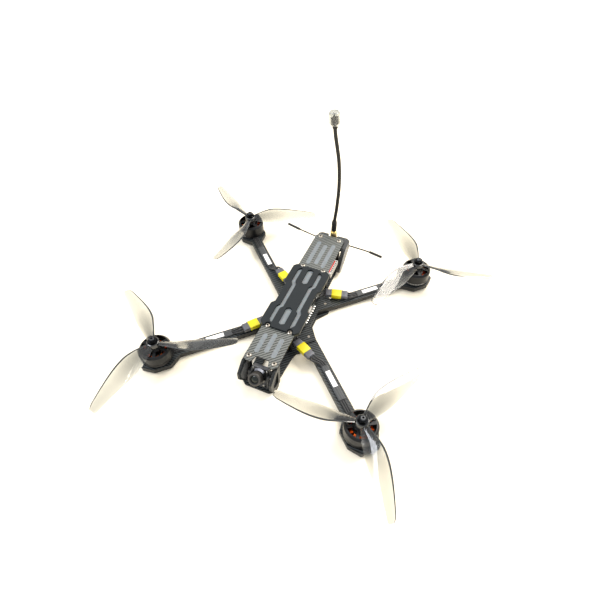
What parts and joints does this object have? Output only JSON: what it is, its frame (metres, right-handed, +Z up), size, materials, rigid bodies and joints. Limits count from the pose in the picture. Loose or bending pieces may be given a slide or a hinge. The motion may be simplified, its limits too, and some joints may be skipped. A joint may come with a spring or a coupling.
{
  "type": "fpv racing drone",
  "caption": "Carbon-frame FPV quadcopter with a tilting camera, spinning three-blade propellers, a battery pad on top and a tall video antenna.",
  "frame": {"origin": "on the ground under the centre of the motors, on the bottom plate's underside", "axes": "+Z up, nose along -Y, the pilot's left along +X"},
  "size_m": [0.3954, 0.3872, 0.1979],
  "materials": {
    "carbon_twill": "satin woven carbon laminate",
    "pad_rubber": "matte non-slip rubber",
    "grip_silicone": "pale blue-grey silicone",
    "black_anodised": "black anodised, satin",
    "stator_steel": "coated electrical steel",
    "copper_wire": "enamelled copper",
    "steel": "bright steel",
    "black_steel": "black oxide steel",
    "champagne_screw": "champagne plated steel",
    "prop_polycarbonate": "translucent grey polycarbonate",
    "board": "black solder mask",
    "capacitor_sleeve": "glossy black sleeve",
    "spacer_nylon": "black nylon",
    "vtx_cover": "light satin aluminium",
    "gold_plate": "gold plated brass",
    "soft_print": "flexible printed polyurethane",
    "stem_black": "black sheathed semi-rigid stem",
    "cap_translucent": "smoke grey translucent cap",
    "plug_nylon": "yellow nylon with grey shells",
    "wire_silicone": "black silicone wire",
    "sleeve_braid": "dark flat braid",
    "camera_case": "grey anodised case",
    "lens_black": "dark grey lens ring"
  },
  "bodies": {
    "frame": {"bottom_plate": "carbon_twill", "mid_plate": "carbon_twill", "top_plate": "carbon_twill", "camera_plate_left": "carbon_twill", "camera_plate_right": "carbon_twill", "battery_pad": "pad_rubber", "grip_strips": "grip_silicone", "standoffs": "black_anodised", "top_screws": "champagne_screw", "bottom_screws": "champagne_screw", "stators": "stator_steel", "stator_windings": "copper_wire", "motor_bearings": "steel", "motor_screws": "black_steel", "esc_board": "board", "flight_controller": "board", "stack_bolts": "black_steel", "stack_spacers": "spacer_nylon", "capacitor": "capacitor_sleeve", "vtx_board": "board", "vtx_heatsink": "vtx_cover", "sma_jack": "gold_plate", "receiver": "spacer_nylon", "antenna_mount": "soft_print", "rx_antenna": "stem_black", "camera_mount": "soft_print", "motor_plugs": "plug_nylon", "motor_wires": "wire_silicone", "wire_sleeves": "sleeve_braid", "arm_front_right": "carbon_twill", "motor_base_front_right": "black_anodised", "arm_front_left": "carbon_twill", "motor_base_front_left": "black_anodised", "arm_rear_right": "carbon_twill", "motor_base_rear_right": "black_anodised", "arm_rear_left": "carbon_twill", "motor_base_rear_left": "black_anodised"},
    "rotor_front_right": {"bell_front_right": "black_anodised", "shaft_front_right": "steel", "prop_front_right": "prop_polycarbonate", "prop_nut_front_right": "black_steel"},
    "rotor_front_left": {"bell_front_left": "black_anodised", "shaft_front_left": "steel", "prop_front_left": "prop_polycarbonate", "prop_nut_front_left": "black_steel"},
    "rotor_rear_right": {"bell_rear_right": "black_anodised", "shaft_rear_right": "steel", "prop_rear_right": "prop_polycarbonate", "prop_nut_rear_right": "black_steel"},
    "rotor_rear_left": {"bell_rear_left": "black_anodised", "shaft_rear_left": "steel", "prop_rear_left": "prop_polycarbonate", "prop_nut_rear_left": "black_steel"},
    "camera": {"camera_body": "camera_case", "camera_lens": "lens_black", "camera_pivot_screws": "steel"},
    "video_antenna": {"antenna_base": "gold_plate", "antenna_stem": "stem_black", "antenna_cap": "cap_translucent"},
    "boot_key": {"boot_button": "spacer_nylon"}
  },
  "joints": [
    {"name": "spin_front_right", "type": "hinge", "parent": "frame", "child": "rotor_front_right", "pos_m": [-0.1155, -0.1135, 0.0285], "axis": [0, 0, 1], "continuous": true},
    {"name": "spin_front_left", "type": "hinge", "parent": "frame", "child": "rotor_front_left", "pos_m": [0.1155, -0.1135, 0.0285], "axis": [0, 0, 1], "continuous": true},
    {"name": "spin_rear_right", "type": "hinge", "parent": "frame", "child": "rotor_rear_right", "pos_m": [-0.1155, 0.1135, 0.0285], "axis": [0, 0, 1], "continuous": true},
    {"name": "spin_rear_left", "type": "hinge", "parent": "frame", "child": "rotor_rear_left", "pos_m": [0.1155, 0.1135, 0.0285], "axis": [0, 0, 1], "continuous": true},
    {"name": "camera_tilt", "type": "hinge", "parent": "frame", "child": "camera", "pos_m": [0, -0.0955, 0.015], "axis": [-1, 0, 0], "range_deg": [-35, 20]},
    {"name": "antenna_swivel", "type": "hinge", "parent": "frame", "child": "video_antenna", "pos_m": [0.001, 0.124, 0.0335], "axis": [0, 0, 1], "range_deg": [-90, 90]},
    {"name": "boot_button_press", "type": "slide", "parent": "frame", "child": "boot_key", "axis": [0, 0, -1], "range_m": [0, 0.0003], "stiffness_N_per_m": 200}
  ]
}
